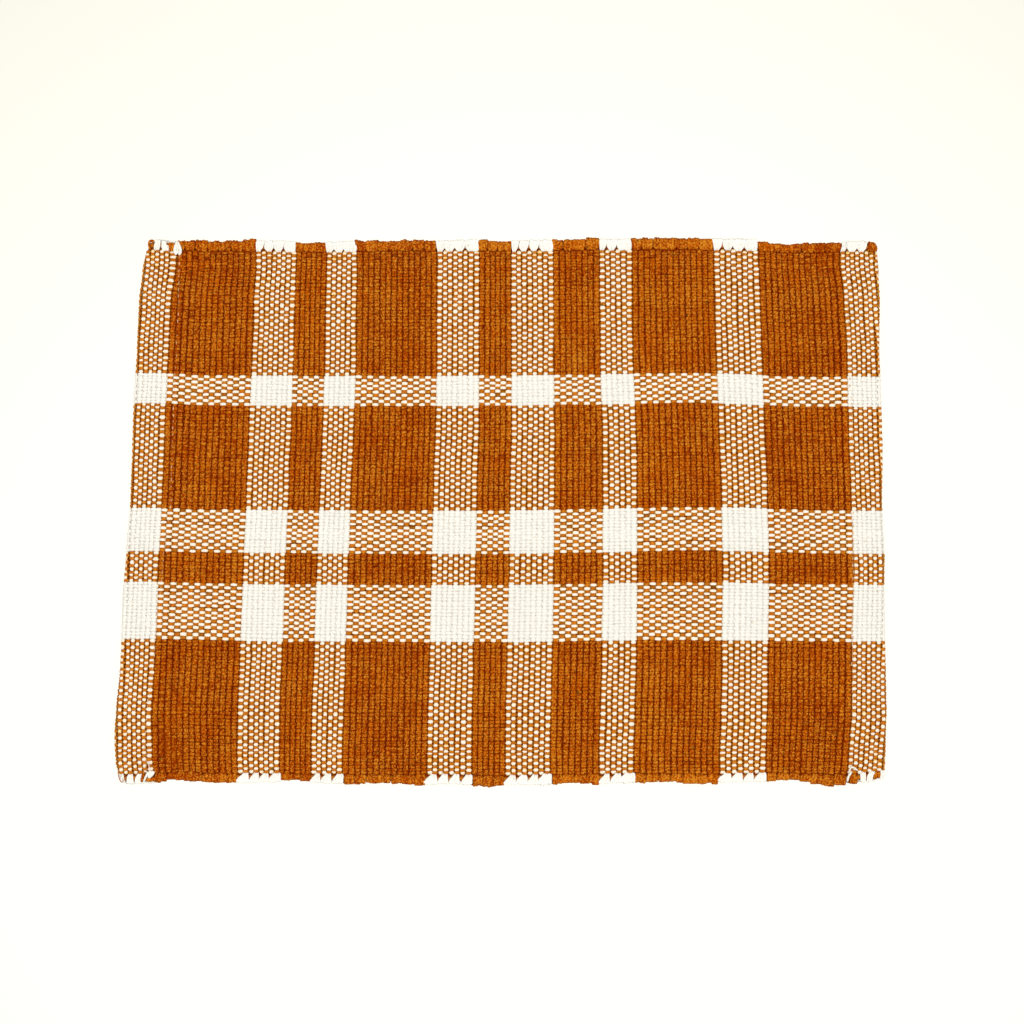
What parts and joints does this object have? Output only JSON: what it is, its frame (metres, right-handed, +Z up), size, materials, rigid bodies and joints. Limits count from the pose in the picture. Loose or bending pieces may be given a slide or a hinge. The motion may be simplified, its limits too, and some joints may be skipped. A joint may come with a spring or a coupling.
{
  "type": "fabric placemat",
  "caption": "Flat rectangular handwoven cotton table mat with striped check weave, looped woven long edges and turned, stitched short ends.",
  "frame": {"origin": "centre of the outline, on the plane the mat lies on", "axes": "+X along the long side, +Y along the short side towards the far woven edge, +Z up through the thickness"},
  "size_m": [0.4658, 0.3336, 0.0056],
  "materials": {
    "cotton_yarn": "matte plain weave of rust brown and cream cotton yarn"
  },
  "bodies": {
    "root": {"placemat_cloth": "cotton_yarn"}
  },
  "joints": []
}
